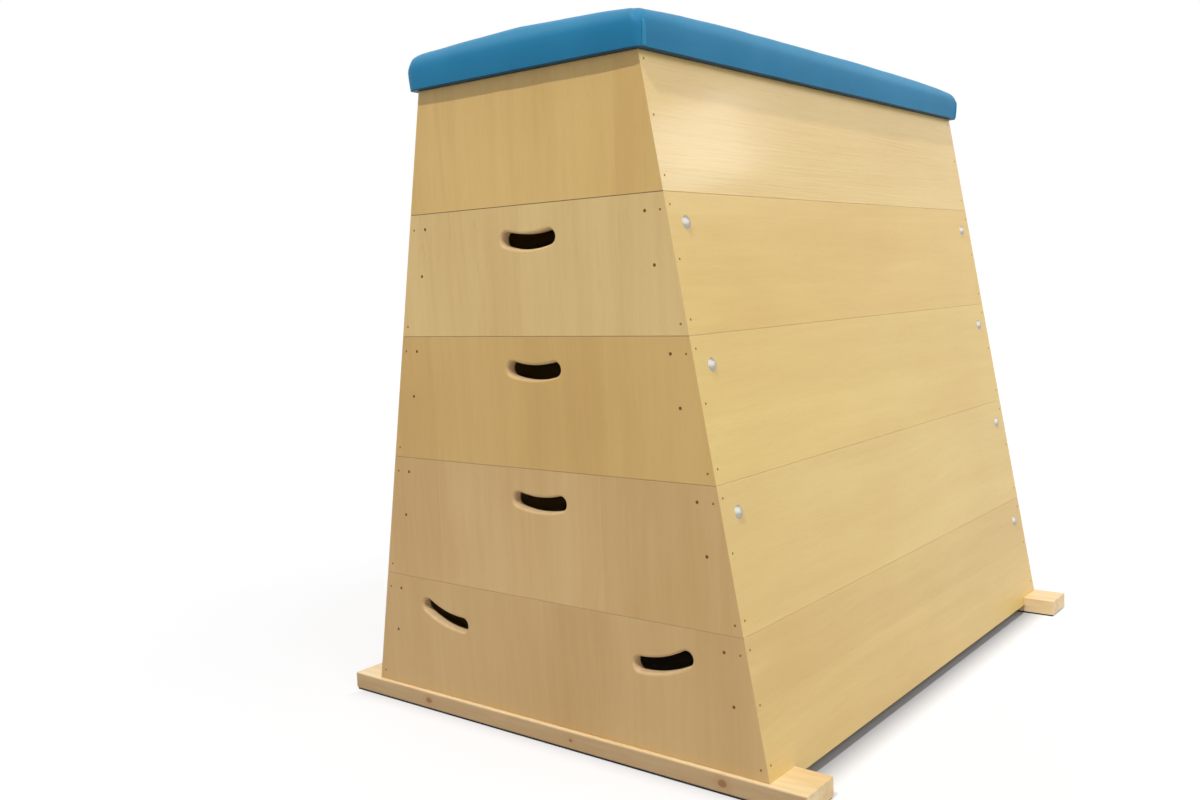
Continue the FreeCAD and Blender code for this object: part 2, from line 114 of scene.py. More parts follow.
class Nodes:
    """A tree of shader nodes, grown by short calls, and the shader that it feeds."""

    def __init__(self, tree, shader):
        self.tree = tree
        self.shader = tree.nodes[shader]

    def node(self, kind, settings, inputs, output=0):
        """Add a node: its settings first, then the values or links of its sockets."""
        made = self.tree.nodes.new("ShaderNode" + kind)
        for name, value in settings.items():
            setattr(made, name, value)
        self.fill(made, inputs)
        return Signal(self, made.outputs[output])

    def fill(self, made, inputs):
        for key, value in inputs.items():
            if isinstance(value, Signal):
                self.tree.links.new(value.socket, made.inputs[key])
            else:
                made.inputs[key].default_value = value

    def feed(self, **inputs):
        """Set or link the shader's sockets; their names have _ for each space."""
        self.fill(self.shader, {name.replace("_", " "): value for name, value in inputs.items()})

    def maths(self, operation, *values):
        return self.node("Math", {"operation": operation}, dict(enumerate(values)))

    def place(self):
        return self.node("TexCoord", {}, {}, "Object")

    def facing(self, direction):
        """How squarely the surface looks along a direction, from 0 to 1, either way round."""
        normal = self.node("NewGeometry", {}, {}, "True Normal")
        product = self.node("VectorMath", {"operation": "DOT_PRODUCT"}, {0: normal, 1: direction},
                            "Value")
        return self.maths("ABSOLUTE", product)

    def along(self, vector, direction):
        """How far a place lies along a direction."""
        return self.node("VectorMath", {"operation": "DOT_PRODUCT"}, {0: vector, 1: direction},
                         "Value")

    def stretched(self, vector, scale, shift=(0.0, 0.0, 0.0)):
        return self.node("Mapping", {}, {"Vector": vector, "Location": shift, "Scale": scale})

    def moved(self, vector, amount, direction):
        """A place moved along a direction by a signal."""
        step = self.node("VectorMath", {"operation": "SCALE"}, {0: direction, "Scale": amount})
        return self.node("VectorMath", {"operation": "ADD"}, {0: vector, 1: step})

    def noise(self, vector, scale, detail=2.0, roughness=0.5):
        inputs = {"Vector": vector, "Scale": scale, "Detail": detail, "Roughness": roughness}
        return self.node("TexNoise", {}, inputs)

    def between(self, value, low, high):
        """0 below low, 1 above high, with a smooth change."""
        inputs = {"Value": value, "From Min": low, "From Max": high}
        return self.node("MapRange", {"interpolation_type": "SMOOTHSTEP"}, inputs)

    def mix(self, share, first, second):
        """Colour between two colours."""
        settings = {"data_type": "RGBA"}
        return self.node("Mix", settings, {0: share, 6: first, 7: second}, 2)

    def bump(self, height, depth, strength=1.0):
        return self.node("Bump", {}, {"Height": height, "Distance": depth, "Strength": strength})


class Finish(Nodes):
    """A new material, which its nodes colour and shape."""

    def __init__(self, name):
        self.material = bpy.data.materials.new(name)
        self.material.use_nodes = True
        super().__init__(self.material.node_tree, "Principled BSDF")

    def surface(self, **inputs):
        """Feed the shader, and give the finished material."""
        self.feed(**inputs)
        return self.material


# ---- Wood ----

LEAF_WIDTH = 0.155            # sliced veneer is laid in leaves this wide
PLY_COUNT = 9
WANDER = 0.035                # how far the grain strays sideways
WANDER_SCALE = 2.6
BAND_SCALE = 1.6              # broad bands, fine lines and pores, by how many fit in a metre
LINE_SCALE = 9.0
PORE_SCALE = 46.0
FLECK_SCALE = 22.0
PORE_TONE = "8A6436"
SEAM_GRIME_AND_SHADE_TONE = "6A4A22"
SEAM_GRIME_AND_SHADE_WIDTH = 1.3 * MM
BRUSH_SQUEEZE = (40.0, 7.0, 300.0)   # brush marks in the varnish run along the panel
BRUSH_MARKS = 5.0
GRAIN_ALONG_Y = (14.0, 1.0, 14.0)
GRAIN_ALONG_Z = (14.0, 14.0, 1.0)
GRAIN_ALONG_X = (1.0, 14.0, 14.0)
X_AXIS = (1.0, 0.0, 0.0)
Y_AXIS = (0.0, 1.0, 0.0)
Z_AXIS = (0.0, 0.0, 1.0)


def grain(finish, squeeze, across, seed):
    """Streaks along the grain at three widths, from broad bands to pores, each from 0 to 1."""
    place = finish.place()
    shifted = finish.stretched(place, (1.0, 1.0, 1.0), (seed, 0.0, 0.0))
    wander = finish.noise(shifted, WANDER_SCALE) - 0.5
    place = finish.moved(place, wander * WANDER, across)
    place = finish.stretched(place, squeeze, (seed * 3.7, seed * 5.3, seed * 1.9))
    bands = finish.noise(place, BAND_SCALE, 3.0, 0.6)
    lines = finish.noise(place, LINE_SCALE, 3.0, 0.65)
    pores = finish.noise(place, PORE_SCALE, 2.0, 0.6)
    return bands, lines, pores


def leaves(finish, across, seed):
    """One tone for each leaf of veneer."""
    number = finish.maths("FLOOR", (finish.along(finish.place(), across) + seed) / LEAF_WIDTH)
    return finish.node("TexWhiteNoise", {"noise_dimensions": "1D"}, {"W": number + seed * 0.37})


def flecks(finish, squeeze, seed):
    """Short dark dashes along the grain."""
    place = finish.stretched(finish.place(), squeeze, (seed * 2.1, seed * 0.7, seed * 4.3))
    dashes = finish.noise(place, FLECK_SCALE, 1.0, 0.5)
    patches = finish.between(finish.noise(finish.place(), 7.0), 0.45, 0.65)
    return finish.between(dashes, 0.66, 0.76) * patches


def ply_edge(finish, depth_share):
    """Tone of the layers at a cut edge, from the share of the thickness passed."""
    layer = depth_share * PLY_COUNT
    turn = finish.maths("PINGPONG", layer, 1.0)
    glue = 1.0 - finish.between(finish.maths("PINGPONG", layer, 0.5), 0.0, 0.10)
    cross = finish.between(turn, 0.35, 0.65)
    return cross * 0.55 + glue * 0.45


def seam_grime_and_shade(finish, low, high):
    """Grime and painted shade along the lower and upper edges of a panel, where it meets its
    neighbours.
    """
    height = finish.along(finish.place(), Z_AXIS) - (low.z + high.z) / 2
    half = (high.z - low.z) / 2
    return finish.between(finish.maths("ABSOLUTE", height), half - SEAM_GRIME_AND_SHADE_WIDTH, half)


def plywood(panel, squeeze, across, outwards, depth, look, seed):
    """Varnished plywood for one panel. depth gives the distance below its outer face."""
    finish = Finish(panel + "_finish")
    bands, lines, pores = grain(finish, squeeze, across, seed)
    cloud = finish.noise(finish.place(), 3.4, 2.0)
    leaf = leaves(finish, across, seed)
    tone = bands * 0.40 + lines * 0.16 + cloud * 0.34 + leaf * 0.10
    light, dark = (colour(code) for code in look["tones"])
    face = finish.mix(finish.between(tone, 0.28, 0.72), light, dark)
    marks = flecks(finish, squeeze, seed) * look["flecks"] + finish.between(pores, 0.55, 0.80) * 0.10
    face = finish.mix(marks, face, colour(PORE_TONE))
    share = depth(finish) / PANEL_THICKNESS
    edge = finish.mix(ply_edge(finish, share) * 0.7, colour("E8CCA0"), colour("C39A62"))
    edge = finish.mix(finish.between(lines, 0.35, 0.75) * 0.20, edge, colour("A07A48"))
    is_edge = 1.0 - finish.between(finish.facing(outwards), 0.55, 0.85)
    wood = finish.mix(is_edge, face, edge)
    # Grime and painted shade where the panel meets its neighbours above and below.
    grime_and_shade = seam_grime_and_shade(finish, *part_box(panel)) * look["seams"]
    wood = finish.mix(grime_and_shade, wood, colour(SEAM_GRIME_AND_SHADE_TONE))
    height = lines * 0.5 + pores * 0.5
    if look["ripple"]:
        waves = finish.noise(finish.stretched(finish.place(), BRUSH_SQUEEZE), 1.0, 1.0)
        height = height + waves * look["ripple"]
    return finish.surface(
        Base_Color=wood,
        Roughness=0.40 + pores * 0.10 + is_edge * 0.22,
        Normal=finish.bump(height, 0.25 * MM, 0.35),
        Coat_Weight=(1.0 - is_edge) * look["gloss"],
        Coat_Roughness=look["coat_roughness"],
    )


def end_depth(finish):
    """Distance below the outer face of an end panel."""
    return BODY_HALF_LENGTH - finish.maths("ABSOLUTE", finish.along(finish.place(), Y_AXIS))


def side_depth(finish):
    """Distance below the outer face of a side panel."""
    outwards = finish.maths("ABSOLUTE", finish.along(finish.place(), X_AXIS))
    rise = finish.along(finish.place(), Z_AXIS) - FOOT_LOW.z
    return (FOOT_HIGH.x - outwards - rise * math.tan(SIDE_SLOPE)) * math.cos(SIDE_SLOPE)


# Light and dark tone of each section's end veneer and side veneer, from the bottom up. They run
# mostly darker towards the bottom.
END_TONES = (("D1AE74", "C19A5F"), ("D6B379", "C59D60"), ("D8B36C", "C89F59"),
             ("E4C585", "D4B070"), ("E2BD71", "D2A85F"))
SIDE_TONES = (("E1C278", "D3B068"), ("E5C87D", "DAB76D"), ("E8CA7B", "DCB96C"),
              ("E8C779", "DCB768"), ("EACB83", "DEBA71"))
END_FLECKS = (0.06, 0.05, 0.05, 0.16, 0.04)
SIDE_FLECKS = 0.02
END_SEAMS = (0.25, 0.38, 0.45, 0.50, 1.00)      # grime and painted shade along the seams; the top section's seam is the darkest
SIDE_SEAMS = 0.04
BODY_VARNISH = {"gloss": 0.20, "coat_roughness": 0.24}
TOP_VARNISH = {"gloss": 0.35, "coat_roughness": 0.15}    # fresher than the rest


def plywood_panels():
    """Finish the four panels of each section, each with grain of its own."""
    for number, section in enumerate(SECTIONS):
        varnish = TOP_VARNISH if section == "top_section" else BODY_VARNISH
        end_look = {"tones": END_TONES[number], "flecks": END_FLECKS[number],
                    "seams": END_SEAMS[number], "ripple": 0.0, **varnish}
        side_look = {"tones": SIDE_TONES[number], "flecks": SIDE_FLECKS, "seams": SIDE_SEAMS,
                     "ripple": BRUSH_MARKS if section == "top_section" else 0.0, **varnish}
        for turn, end in enumerate(("front_panel", "rear_panel")):
            panel = f"{section}_{end}"
            seed = 1.3 + number * 2.0 + turn * 11.0
            paint(panel, plywood(panel, GRAIN_ALONG_Z, X_AXIS, Y_AXIS, end_depth, end_look, seed))
        for turn, (side, sign) in enumerate((("left_panel", -1), ("right_panel", 1))):
            panel = f"{section}_{side}"
            seed = 2.1 + number * 3.0 + turn * 17.0
            outwards = (sign * math.cos(SIDE_SLOPE), 0.0, math.sin(SIDE_SLOPE))
            paint(panel, plywood(panel, GRAIN_ALONG_Y, Z_AXIS, outwards, side_depth, side_look,
                                 seed))


def paint(node, material):
    """Give a frame node its finish."""
    for slot in NODES[node].material_slots:
        slot.material = material


# Knots of the front skid, as their places along it and their radii.
SKID_KNOTS = ((-0.240, 0.0075), (0.293, 0.0085), (0.045, 0.004))
SKID_TONES = ("F3DCAE", "E2C088")
SKID_PAINTED_FRONT_SHADE = 0.66
POST_TONES = ("E6CDA0", "CCA877")
BATTEN_TONES = ("E3C798", "C7A370")


def softwood(name, squeeze, across, tones, seed, knots=(), painted_front_shade=0.0):
    """Planed pine, darkened round its knots, and with painted shade on its front face and the face
    behind it, by the share painted_front_shade.
    """
    finish = Finish(name)
    light, dark = (colour(code) for code in tones)
    bands, lines, pores = grain(finish, squeeze, across, seed)
    tone = bands * 0.55 + lines * 0.45
    wood = finish.mix(finish.between(tone, 0.34, 0.66), light, dark)
    wood = finish.mix(finish.between(pores, 0.55, 0.8) * 0.15, wood, colour("8E683C"))
    # Painted shade on the faces that look along Y: the front face and the one behind it.
    wood = finish.mix(finish.facing(Y_AXIS) * painted_front_shade, wood, colour("9A7344"))
    place_x = finish.along(finish.place(), X_AXIS)
    place_z = finish.along(finish.place(), Z_AXIS)
    middle = (SKID_LOW.z + SKID_HIGH.z) / 2
    for x, radius in knots:
        dx = (place_x - x) / radius
        dz = (place_z - middle) / (radius * 0.75)
        distance = finish.maths("SQRT", dx * dx + dz * dz) + (lines - 0.5) * 0.6
        halo = 1.0 - finish.between(distance, 0.9, 2.4)
        core = 1.0 - finish.between(distance, 0.55, 1.0)
        wood = finish.mix(halo * 0.45, wood, colour("B58A55"))
        wood = finish.mix(core * 0.75, wood, colour("7F5429"))
    return finish.surface(
        Base_Color=wood,
        Roughness=0.46 + pores * 0.12,
        Normal=finish.bump(lines * 0.6 + pores * 0.4, 0.3 * MM, 0.4),
        Coat_Weight=0.15,
        Coat_Roughness=0.3,
    )


def wooden_parts():
    """Finish the skids, posts, corner blocks, battens and deck board."""
    front_pine = softwood("front_skid_finish", GRAIN_ALONG_X, Y_AXIS, SKID_TONES, seed=4.2,
                          knots=SKID_KNOTS, painted_front_shade=SKID_PAINTED_FRONT_SHADE)
    rear_pine = softwood("rear_skid_finish", GRAIN_ALONG_X, Y_AXIS, SKID_TONES, seed=7.9)
    post_pine = softwood("post_pine_finish", GRAIN_ALONG_Z, X_AXIS, POST_TONES, seed=9.4)
    batten_pine = softwood("batten_pine_finish", GRAIN_ALONG_X, Y_AXIS, BATTEN_TONES, seed=6.6)
    paint("front_skid", front_pine)
    paint("rear_skid", rear_pine)
    for section in SECTIONS[:-1]:
        paint(section + "_corner_posts", post_pine)
    paint("top_section_corner_blocks", post_pine)
    paint("deck_battens", batten_pine)
    paint("deck_board", deck_plywood())


def deck_plywood():
    """Bare plywood, with its layers at the edges."""
    finish = Finish("deck_plywood_finish")
    bands, lines, pores = grain(finish, GRAIN_ALONG_Y, X_AXIS, seed=12.7)
    face = finish.mix(finish.between(bands * 0.6 + lines * 0.4, 0.3, 0.7), colour("DDBF8C"),
                      colour("BE9860"))
    depth = (finish.along(finish.place(), Z_AXIS) - DECK_LOW.z) / (DECK_HIGH.z - DECK_LOW.z)
    edge = finish.mix(ply_edge(finish, depth), colour("D9BB86"), colour("9C7544"))
    is_edge = 1.0 - finish.between(finish.facing(Z_AXIS), 0.5, 0.8)
    return finish.surface(
        Base_Color=finish.mix(is_edge, face, edge),
        Roughness=0.62 + pores * 0.15,
        Normal=finish.bump(lines, 0.3 * MM, 0.5),
    )


# ---- Rubber and steel ----

def grip_rubber():
    """Black rubber with a fine matt skin and dust in its hollows."""
    finish = Finish("grip_rubber_finish")
    skin = finish.noise(finish.place(), 900.0, 2.0)
    dust = finish.between(finish.noise(finish.place(), 60.0, 4.0), 0.5, 0.75)
    return finish.surface(
        Base_Color=finish.mix(dust * 0.35, colour("1C1C1E"), colour("4A4741")),
        Roughness=0.72 + skin * 0.15,
        Normal=finish.bump(skin, 0.2 * MM, 0.5),
    )


def steel(name, tones, roughness, mottle_scale):
    """Metal with a mottled coat and fine scratches."""
    finish = Finish(name)
    mottle = finish.noise(finish.place(), mottle_scale, 4.0, 0.6)
    scratches = finish.noise(finish.stretched(finish.place(), (1.0, 1.0, 9.0)), 900.0)
    light, dark = (colour(code) for code in tones)
    return finish.surface(
        Base_Color=finish.mix(finish.between(mottle, 0.35, 0.7), light, dark),
        Metallic=1.0,
        Roughness=roughness + mottle * 0.15,
        Normal=finish.bump(scratches, 0.05 * MM, 0.3),
    )


ZINC_TONES = ("B4AEA4", "A09A90")
NAIL_TONES = ("9A7444", "7A5A34")        # nails and screws are tarnished brown
SCREW_TONES = ("7C5C38", "5A4228")


def fittings():
    """Finish the fasteners and the rubber strips."""
    zinc = steel("zinc_steel_finish", ZINC_TONES, roughness=0.26, mottle_scale=900.0)
    nail_steel = steel("nail_steel_finish", NAIL_TONES, roughness=0.55, mottle_scale=700.0)
    screw_steel = steel("screw_steel_finish", SCREW_TONES, roughness=0.50, mottle_scale=700.0)
    rubber = grip_rubber()
    for section in SECTIONS[:-1]:
        for fitting in ("post_bolts", "post_washers", "post_nuts"):
            paint(f"{section}_{fitting}", zinc)
        paint(section + "_post_screws", screw_steel)
        paint(section + "_corner_nails", nail_steel)
    paint("top_section_corner_nails", nail_steel)
    paint("deck_screws", zinc)
    paint("skid_screws", zinc)
    paint("cover_staples", zinc)
    paint("front_skid_rubber", rubber)
    paint("rear_skid_rubber", rubber)


# ---- Vinyl ----

PAD_TONES = ("2C85B0", "277DA8")
FOLD_HIGHLIGHT_TONES = ("429CC4", "318CB6")        # lighter on the folds: a painted highlight
TOP_EDGE_HIGHLIGHT_TONE = "6FB6D6"
CREASE_TONE = "186488"
HEM_SHADE_TONE = "0F2C3A"
HIGHLIGHT_LOW = 26.0 * MM     # below the top, the band of painted highlight where the cover turns over its rounded edge
HIGHLIGHT_HIGH = 10.0 * MM
LEATHER_CELLS = 620.0
LEATHER_WANDER = 0.0016


def blue_vinyl(name, tones):
    """Coated fabric with a fine leather grain and a soft sheen, with a painted highlight along the
    rounded top edge and painted shade under the turned-in hem.
    """
    finish = Finish(name)
    light, dark = (colour(code) for code in tones)
    place = finish.place()
    cloud = finish.noise(place, 7.0, 3.0)
    wander = finish.noise(place, 240.0) - 0.5
    loose = finish.moved(place, wander * LEATHER_WANDER, (1.0, 1.0, 1.0))
    cells = finish.node("TexVoronoi", {"feature": "DISTANCE_TO_EDGE"},
                        {"Vector": loose, "Scale": LEATHER_CELLS})
    creases = 1.0 - finish.between(cells, 0.0, 0.16)
    fine = finish.noise(place, 1600.0, 2.0)
    base = finish.mix(finish.between(cloud, 0.3, 0.7), dark, light)
    base = finish.mix(creases * 0.22, base, colour(CREASE_TONE))
    height = finish.along(place, Z_AXIS)
    # Painted highlight on the sides of the rounded top edge, carried by stretched.
    near_top = finish.between(height, COVER_HIGH.z - HIGHLIGHT_LOW, COVER_HIGH.z - HIGHLIGHT_HIGH)
    stretched = near_top * (1.0 - finish.facing(Z_AXIS))
    base = finish.mix(stretched * 0.45, base, colour(TOP_EDGE_HIGHLIGHT_TONE))
    # Painted shade on the underside of the turned-in hem, where the pad overhangs the wood.
    hem_shade = 1.0 - finish.between(height, COVER_LOW.z + 0.4 * MM, COVER_LOW.z + 1.4 * MM)
    base = finish.mix(hem_shade * 0.85, base, colour(HEM_SHADE_TONE))
    return finish.surface(
        Base_Color=base,
        Roughness=0.42 + creases * 0.12 + fine * 0.06,
        Normal=finish.bump(fine * 0.3 - creases * 0.7, 0.12 * MM, 0.45),
        Specular_IOR_Level=0.15,
    )


# ---- Modelling helpers ----

def deselect_all():
    bpy.ops.object.select_all(action="DESELECT")


def make_only(piece):
    """Select this piece alone."""
    deselect_all()
    piece.select_set(True)
    bpy.context.view_layer.objects.active = piece


def add_block(name, low, high):
    """A block between two corners, its place and size in its mesh."""
    deselect_all()
    low, high = Vector(low), Vector(high)
    bpy.ops.mesh.primitive_cube_add(size=1.0, location=(low + high) / 2)
    block = bpy.context.active_object
    block.name = name
    block.scale = high - low
    bpy.ops.object.transform_apply(location=True, rotation=True, scale=True)
    return block


def select_edges(piece, wanted):
    """In edit mode, select the edges whose two ends pass a test."""
    mesh = bmesh.from_edit_mesh(piece.data)
    bpy.ops.mesh.select_mode(type="EDGE")
    bpy.ops.mesh.select_all(action="DESELECT")
    for edge in mesh.edges:
        edge.select_set(wanted(edge.verts[0].co, edge.verts[1].co))
    bmesh.update_edit_mesh(piece.data)


def round_edges(piece, wanted, radius, steps):
    make_only(piece)
    bpy.ops.object.mode_set(mode="EDIT")
    select_edges(piece, wanted)
    bpy.ops.mesh.bevel(offset=radius, segments=steps, affect="EDGES")
    bpy.ops.object.mode_set(mode="OBJECT")


def apply_modifier(piece, kind, settings):
    """Add a modifier with its settings and apply it."""
    make_only(piece)
    modifier = piece.modifiers.new(kind.lower(), kind)
    for name, value in settings.items():
        setattr(modifier, name, value)
    bpy.ops.object.modifier_apply(modifier=modifier.name)


def places_of(mesh):
    values = np.empty(len(mesh.vertices) * 3, np.float32)
    mesh.vertices.foreach_get("co", values)
    return values.reshape(-1, 3).astype(float)


def set_places(mesh, places):
    mesh.vertices.foreach_set("co", places.astype(np.float32).ravel())
    mesh.update()


def smooth_step(values, low, high):
    share = np.clip((values - low) / (high - low), 0.0, 1.0)
    return share * share * (3.0 - 2.0 * share)


# ---- The padded top ----

START_GROW = 0.6 * MM         # the block starts this much outside the cover's plan
START_SINK = 10.5 * MM        # and this much lower, and is blown up
CROWN = 4.0 * MM              # the foam is this much thicker in the middle
SKIRT_SLACK = 5.0 * MM        # how far the sides may lie inside the cover's plan before that
TRIM = 10.0 * MM              # waste below the hem, cut off level at the end
CORNER_ROUND = 6.0 * MM
TOP_ROUND = 17.0 * MM
VOXEL = 7.0 * MM
SWELL_LIMIT = 8.0 * MM
PRESSURE = 4.0
FOAM_HOLD = 2.0               # springs through the foam, which hold the cover's faces together
FOAM_PUSH = 50.0              # and apart
CLOTH_EASE = 0.045            # the cover is cut this share larger than the block
SIMULATED_FRAMES = 20
SMOOTH_ROUNDS = 30
HOLD_LOW = 3.0 * MM           # the cover is tight up to here above its lower edge
HOLD_FADE = 6.0 * MM          # and free from here above the deck board
SKIRT_LOW = 2.0 * MM          # the skirt is drawn out up to here above the deck board
SKIRT_HIGH = 14.0 * MM        # and left as blown up from here
TUCK_DEPTH = 2.6 * MM         # small fold pressed into the top of each corner
TUCK_WIDTH = 4.0 * MM
TUCK_REACH = 26.0 * MM        # from the corner in over the top
TUCK_LOW = 32.0 * MM          # below the top, where the tuck runs out
TUCK_HIGH = 16.0 * MM
CORNER_DROP = 8.0 * MM        # how far the cover's pull draws each corner down
DROP_REACH = 130.0 * MM
BOARD_CLEARANCE = 0.2 * MM
BOARD_CORNER_ROUND = 11.0 * MM
HEM_WIDTH = 36.0 * MM
FOLD_WIDTH = 8.0 * MM         # flap of vinyl lapped beside each upright corner
FOLD_FROM_CORNER = 1.5 * MM
FOLD_LOW = 1.0 * MM           # above the hem
FOLD_HIGH = 34.0 * MM
FOLD_LIFT = 0.9 * MM
FOLD_TAPER = 0.35             # how much narrower it is at its upper end


def pad_block():
    """Starting shape of the pad: a block with a rounded top and nearly sharp upright corners."""
    low = COVER_LOW - Vector((START_GROW, START_GROW, TRIM))
    high = COVER_HIGH + Vector((START_GROW, START_GROW, -START_SINK))
    pad = add_block("vinyl_pad", low, high)
    round_edges(pad, lambda a, b: abs(a.z - b.z) > MM, CORNER_ROUND, 3)
    round_edges(pad, lambda a, b: min(a.z, b.z) > high.z - MM, TOP_ROUND, 5)
    apply_modifier(pad, "REMESH", {"mode": "VOXEL", "voxel_size": VOXEL})
    places = places_of(pad.data)
    across, along = np.abs(places[:, 0]) / high.x, np.abs(places[:, 1]) / high.y
    crown = (1.0 - across ** 3) * (1.0 - along ** 10)
    places[:, 2] += CROWN * crown * smooth_step(places[:, 2], high.z - TOP_ROUND, high.z)
    set_places(pad.data, places)
    return pad


def hold_lower_edge(pad):
    """Vertex group that keeps the cover tight round the deck board."""
    held = pad.vertex_groups.new(name="held")
    heights = places_of(pad.data)[:, 2] - COVER_LOW.z
    weights = 1.0 - smooth_step(heights, HOLD_LOW, DECK_HIGH.z - COVER_LOW.z + HOLD_FADE)
    for index, weight in enumerate(weights):
        held.add([index], float(weight), "REPLACE")
    return held.name


def settled_places(pad):
    """Where the cover comes to rest, pushed out by the foam and held by it."""
    cloth = pad.modifiers.new("stuffing", "CLOTH")
    cloth.settings.use_pressure = True
    cloth.settings.uniform_pressure_force = PRESSURE
    cloth.settings.shrink_min = -CLOTH_EASE
    cloth.settings.tension_stiffness = 30.0
    cloth.settings.compression_stiffness = 30.0
    cloth.settings.bending_stiffness = 6.0
    cloth.settings.use_internal_springs = True
    cloth.settings.internal_spring_max_length = 0.0
    cloth.settings.internal_tension_stiffness = FOAM_HOLD
    cloth.settings.internal_tension_stiffness_max = FOAM_HOLD
    cloth.settings.internal_compression_stiffness = FOAM_PUSH
    cloth.settings.internal_compression_stiffness_max = FOAM_PUSH
    cloth.settings.vertex_group_mass = hold_lower_edge(pad)
    cloth.settings.effector_weights.gravity = 0.0
    cloth.point_cache.frame_end = SIMULATED_FRAMES
    scene = bpy.context.scene
    for step in range(1, SIMULATED_FRAMES + 1):
        scene.frame_set(step)
    evaluated = pad.evaluated_get(bpy.context.evaluated_depsgraph_get())
    settled = places_of(evaluated.data)
    pad.modifiers.remove(cloth)
    scene.frame_set(1)
    return settled


def evened_out(mesh, values, rounds):
    """Values of the vertices, averaged with their neighbours again and again."""
    ends = np.empty(len(mesh.edges) * 2, np.int32)
    mesh.edges.foreach_get("vertices", ends)
    first, second = ends.reshape(-1, 2).T
    count = np.bincount(ends, minlength=len(values))
    for _ in range(rounds):
        sums = np.bincount(first, values[second], len(values))
        sums += np.bincount(second, values[first], len(values))
        values = (values + sums / count) / 2
    return values


def blow_up(pad):
    """Swell the cover by what the cloth moved outwards, evened out as foam would hold it."""
    rest = places_of(pad.data)
    normals = np.empty(len(pad.data.vertices) * 3, np.float32)
    pad.data.vertices.foreach_get("normal", normals)
    normals = normals.reshape(-1, 3)
    swell = np.sum((settled_places(pad) - rest) * normals, axis=1)
    swell = SWELL_LIMIT * np.tanh(np.maximum(swell, 0.0) / SWELL_LIMIT)
    swell = evened_out(pad.data, swell, SMOOTH_ROUNDS)
    set_places(pad.data, rest + normals * swell[:, None])


def tighten_skirt(pad):
    """Bring the cover's lower edge out to its full size all round the deck board."""
    places = places_of(pad.data)
    half = np.array((COVER_HIGH.x, COVER_HIGH.y)) + START_GROW - CORNER_ROUND
    beyond = np.abs(places[:, :2]) - half
    corner = np.maximum(beyond, 0.0)
    reach = np.linalg.norm(corner, axis=1)
    distance = reach + np.minimum(beyond.max(axis=1), 0.0) - CORNER_ROUND
    sideways = np.where(beyond == beyond.max(axis=1, keepdims=True), 1.0, 0.0)
    outwards = np.where(reach[:, None] > 0.0, corner / np.maximum(reach, 1e-9)[:, None], sideways)
    outwards *= np.sign(places[:, :2])
    is_wall = distance > -SKIRT_SLACK
    held = 1.0 - smooth_step(places[:, 2], DECK_HIGH.z + SKIRT_LOW, DECK_HIGH.z + SKIRT_HIGH)
    push = np.where(is_wall, np.maximum(-distance, 0.0), 0.0) * held
    places[:, :2] += outwards * push[:, None]
    set_places(pad.data, places)


def raise_between_corners(pad):
    """Lift the top away from its four corners, where the gathered cover holds it down."""
    places = places_of(pad.data)
    from_corner = np.linalg.norm(np.array((COVER_HIGH.x, COVER_HIGH.y)) - np.abs(places[:, :2]),
                                 axis=1)
    top_share = smooth_step(places[:, 2], DECK_HIGH.z, COVER_HIGH.z - START_SINK)
    places[:, 2] += CORNER_DROP * (1.0 - np.exp(-from_corner / DROP_REACH)) * top_share
    set_places(pad.data, places)


def tuck_corners(pad):
    """Press a small fold into the top of each corner, where the cover is gathered."""
    places = places_of(pad.data)
    for side in SIDES:
        for end in ENDS:
            from_side = COVER_HIGH.x - side * places[:, 0]
            from_end = COVER_HIGH.y - end * places[:, 1]
            inwards = (from_side + from_end) / 2
            off_line = (from_side - from_end) / math.sqrt(2)
            depth = TUCK_DEPTH * np.exp(-(off_line / TUCK_WIDTH) ** 2)
            depth *= 1.0 - smooth_step(inwards, TUCK_REACH * 0.4, TUCK_REACH)
            depth *= smooth_step(places[:, 2], COVER_HIGH.z - TUCK_LOW, COVER_HIGH.z - TUCK_HIGH)
            places -= depth[:, None] * np.array((side, end, 1.0)) / math.sqrt(3)
    set_places(pad.data, places)


def seat_on_board(pad):
    """Cut off the waste below the hem, the room for the deck board, and the window inside the
    turned-in hem."""
    waste_low = COVER_LOW - Vector((2 * TRIM, 2 * TRIM, 3 * TRIM))
    waste_high = (COVER_HIGH.x + 2 * TRIM, COVER_HIGH.y + 2 * TRIM, COVER_LOW.z)
    waste = add_block("waste_below", waste_low, waste_high)
    low = DECK_LOW - Vector((BOARD_CLEARANCE,) * 3)
    high = DECK_HIGH + Vector((BOARD_CLEARANCE,) * 3)
    room = add_block("board_room", low, high)
    round_edges(room, lambda a, b: abs(a.z - b.z) > MM, BOARD_CORNER_ROUND, 5)
    window_low = (COVER_LOW.x + HEM_WIDTH, COVER_LOW.y + HEM_WIDTH, COVER_LOW.z - MM)
    window_high = (COVER_HIGH.x - HEM_WIDTH, COVER_HIGH.y - HEM_WIDTH, DECK_LOW.z + MM)
    window = add_block("hem_window", window_low, window_high)
    for cutter in (waste, room, window):
        apply_modifier(pad, "BOOLEAN", {"operation": "DIFFERENCE", "object": cutter})
        bpy.data.objects.remove(cutter)


def upholster(piece, vinyl):
    """Cover a finished piece of the pad with vinyl and hang it on the top section."""
    piece.data.materials.clear()
    piece.data.materials.append(vinyl)
    make_only(piece)
    bpy.ops.object.shade_smooth_by_angle(angle=math.radians(50))
    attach(piece, "top_section")


def vinyl_pad(vinyl):
    """The stuffed pad."""
    pad = pad_block()
    blow_up(pad)
    apply_modifier(pad, "SUBSURF", {"levels": 1, "render_levels": 1})
    tighten_skirt(pad)
    tuck_corners(pad)
    raise_between_corners(pad)
    seat_on_board(pad)
    upholster(pad, vinyl)
    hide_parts("pad_cover", "pad_foam")
    return pad


